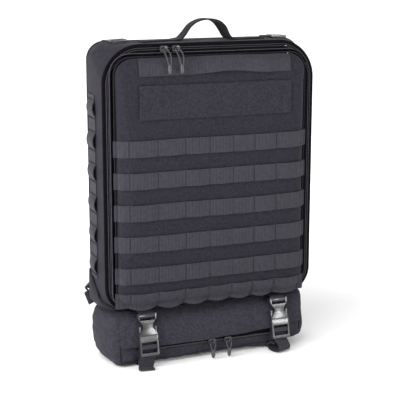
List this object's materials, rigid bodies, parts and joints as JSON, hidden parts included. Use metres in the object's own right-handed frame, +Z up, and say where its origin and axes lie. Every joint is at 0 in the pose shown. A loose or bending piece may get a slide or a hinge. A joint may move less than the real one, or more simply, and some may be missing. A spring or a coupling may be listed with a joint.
{
  "type": "backpack",
  "caption": "Slim clamshell trauma backpack with webbing-covered lid, padded back with shoulder straps, and a lower pouch held by two buckled straps.",
  "frame": {"origin": "centre of the flat underside of the lower pouch, on the floor", "axes": "+Z up along the pack's height, +Y from the lid towards the wearer's back, +X across to the right when the lid is seen from the front"},
  "size_m": [0.374, 0.1571, 0.546],
  "materials": {
    "fabric": "matt woven nylon",
    "webbing": "ribbed nylon webbing",
    "mesh": "spacer mesh over foam",
    "liner": "brushed loop lining",
    "loop_panel": "loop pile",
    "zipper": "woven tape with a nylon coil",
    "hardware": "black, semi-gloss",
    "buckle": "moulded acetal, satin gloss",
    "sheet": "plain",
    "cord": "braided cord",
    "cord_end": "moulded"
  },
  "bodies": {
    "pack": {"side_gusset": "fabric", "back_panel": "mesh", "frame_sheet": "sheet", "rear_liner": "liner", "instrument_elastics": "webbing", "lid_hinge_strip": "fabric", "body_zipper": "zipper", "side_webbing_left": "webbing", "side_webbing_right": "webbing", "carry_handle_feet": "webbing", "load_lifter_webbing": "webbing", "load_lifter_lock_left": "buckle", "load_lifter_lock_right": "buckle", "back_pad_left": "mesh", "back_pad_right": "mesh", "lumbar_pad": "mesh", "shoulder_strap_left": "fabric", "shoulder_strap_right": "fabric", "shoulder_webbing_left": "webbing", "shoulder_webbing_right": "webbing", "anchor_tabs": "webbing", "strap_lock_left": "buckle", "strap_lock_right": "buckle", "pouch_shell": "fabric", "pouch_zipper": "zipper", "pouch_flap": "fabric", "front_strap_left": "webbing", "front_strap_right": "webbing", "buckle_socket_left": "buckle", "buckle_socket_right": "buckle", "sternum_socket": "buckle", "sternum_strap_left": "webbing", "sternum_strap_right": "webbing"},
    "lid": {"lid_panel": "fabric", "lid_zipper": "zipper", "lid_webbing_rows": "webbing", "lid_handle": "webbing", "identification_panel": "loop_panel", "lid_mesh_pocket": "liner"},
    "lid_slider_left_body": {"lid_slider_left": "hardware"},
    "lid_pull_left": {"lid_pull_cord_left": "cord", "lid_pull_end_left": "cord_end"},
    "pouch_slider_left_body": {"pouch_slider_left": "hardware"},
    "pouch_pull_left": {"pouch_pull_cord_left": "cord", "pouch_pull_end_left": "cord_end"},
    "plug_left": {"buckle_plug_left": "buckle", "plug_webbing_left": "webbing"},
    "lid_slider_right_body": {"lid_slider_right": "hardware"},
    "lid_pull_right": {"lid_pull_cord_right": "cord", "lid_pull_end_right": "cord_end"},
    "pouch_slider_right_body": {"pouch_slider_right": "hardware"},
    "pouch_pull_right": {"pouch_pull_cord_right": "cord", "pouch_pull_end_right": "cord_end"},
    "plug_right": {"buckle_plug_right": "buckle", "plug_webbing_right": "webbing"},
    "handle": {"carry_handle": "webbing"},
    "sternum_plug_body": {"sternum_plug": "buckle", "sternum_plug_webbing": "webbing"}
  },
  "joints": [
    {"name": "lid_hinge", "type": "hinge", "parent": "pack", "child": "lid", "pos_m": [0, -0.059, 0.1], "axis": [1, 0, 0], "range_deg": [0, 85]},
    {"name": "carry_handle_swing", "type": "hinge", "parent": "pack", "child": "handle", "pos_m": [0, -0.008, 0.5246], "axis": [1, 0, 0], "range_deg": [-75, 75]},
    {"name": "lid_slider_left_slide", "type": "slide", "parent": "lid", "child": "lid_slider_left_body", "axis": [1, 0, 0], "range_m": [-0.03, 0]},
    {"name": "lid_pull_left_swing", "type": "hinge", "parent": "lid_slider_left_body", "child": "lid_pull_left", "pos_m": [-0.08, -0.0548, 0.5033], "axis": [-1, 0, 0], "range_deg": [0, 110]},
    {"name": "pouch_slider_left_slide", "type": "slide", "parent": "pack", "child": "pouch_slider_left_body", "axis": [1, 0, 0], "range_m": [-0.06, 0]},
    {"name": "pouch_pull_left_swing", "type": "hinge", "parent": "pouch_slider_left_body", "child": "pouch_pull_left", "pos_m": [-0.004, -0.0668, 0.029], "axis": [-1, 0, 0], "range_deg": [0, 120]},
    {"name": "plug_left_release", "type": "slide", "parent": "pack", "child": "plug_left", "axis": [0, -0.2249, -0.9744], "range_m": [0, 0.018]},
    {"name": "lid_slider_right_slide", "type": "slide", "parent": "lid", "child": "lid_slider_right_body", "axis": [1, 0, 0], "range_m": [0, 0.15]},
    {"name": "lid_pull_right_swing", "type": "hinge", "parent": "lid_slider_right_body", "child": "lid_pull_right", "pos_m": [-0.06, -0.0548, 0.5033], "axis": [-1, 0, 0], "range_deg": [0, 110]},
    {"name": "pouch_slider_right_slide", "type": "slide", "parent": "pack", "child": "pouch_slider_right_body", "axis": [1, 0, 0], "range_m": [0, 0.05]},
    {"name": "pouch_pull_right_swing", "type": "hinge", "parent": "pouch_slider_right_body", "child": "pouch_pull_right", "pos_m": [0.024, -0.0668, 0.029], "axis": [-1, 0, 0], "range_deg": [0, 120]},
    {"name": "plug_right_release", "type": "slide", "parent": "pack", "child": "plug_right", "axis": [0, -0.2249, -0.9744], "range_m": [0, 0.018]},
    {"name": "sternum_release", "type": "slide", "parent": "pack", "child": "sternum_plug_body", "axis": [1, 0, 0], "range_m": [0, 0.03]}
  ]
}
